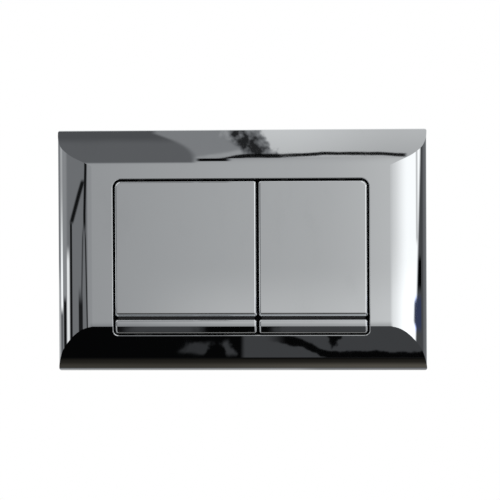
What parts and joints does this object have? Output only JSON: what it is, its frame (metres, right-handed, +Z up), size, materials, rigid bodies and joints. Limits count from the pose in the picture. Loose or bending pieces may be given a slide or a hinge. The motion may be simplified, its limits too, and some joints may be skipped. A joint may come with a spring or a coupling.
{
  "type": "flush button plate",
  "caption": "Rectangular chrome flush plate with rolled sides, a wide and a narrow hinged button, sprung push rods and a black mounting frame with studs for the cistern shaft.",
  "frame": {"origin": "middle of the plate on the wall surface, half-way between the two fixing studs", "axes": "+X to the right along the plate's width, +Y into the wall along the studs, +Z up; the room is on -Y"},
  "size_m": [0.23, 0.078, 0.15],
  "materials": {
    "chrome": "mirror chrome plating",
    "black_plastic": "fine moulded grain",
    "white_plastic": "moulded, satin",
    "grey_plastic": "moulded, satin",
    "steel": "drawn bar",
    "spring_steel": "drawn wire",
    "zinc": "zinc plated",
    "rubber": "matt"
  },
  "bodies": {
    "plate": {"bezel": "chrome", "mounting_frame": "black_plastic", "large_hinge_pin": "steel", "small_hinge_pin": "steel", "large_return_spring": "spring_steel", "small_return_spring": "spring_steel", "large_guide_bush": "white_plastic", "small_guide_bush": "white_plastic", "left_fixing_bolt": "zinc", "right_fixing_bolt": "zinc", "left_washer": "zinc", "right_washer": "zinc", "left_fixing_nut": "grey_plastic", "right_fixing_nut": "grey_plastic", "large_left_buffer": "rubber", "large_right_buffer": "rubber", "small_left_buffer": "rubber", "small_right_buffer": "rubber"},
    "large_button": {"large_button": "chrome"},
    "small_button": {"small_button": "chrome"},
    "large_rod": {"large_push_rod": "white_plastic", "large_rod_head": "grey_plastic"},
    "small_rod": {"small_push_rod": "white_plastic", "small_rod_head": "grey_plastic"}
  },
  "joints": [
    {"name": "large_button_hinge", "type": "hinge", "parent": "plate", "child": "large_button", "pos_m": [0, -0.007, 0.05], "axis": [1, 0, 0], "range_deg": [0, 5], "stiffness_Nm_per_rad": 3.4, "springref_deg": -3.04},
    {"name": "small_button_hinge", "type": "hinge", "parent": "plate", "child": "small_button", "pos_m": [0, -0.007, 0.05], "axis": [1, 0, 0], "range_deg": [0, 5], "stiffness_Nm_per_rad": 3.4, "springref_deg": -3.04},
    {"name": "large_rod_slide", "type": "slide", "parent": "plate", "child": "large_rod", "axis": [0, 1, 0], "range_m": [0, 0.0053], "deforming": ["large_return_spring"]},
    {"name": "small_rod_slide", "type": "slide", "parent": "plate", "child": "small_rod", "axis": [0, 1, 0], "range_m": [0, 0.0053], "deforming": ["small_return_spring"]}
  ],
  "couplings": [
    {"joint": "large_rod_slide", "follows": "large_button_hinge", "m_per_rad": 0.06},
    {"joint": "small_rod_slide", "follows": "small_button_hinge", "m_per_rad": 0.06}
  ]
}
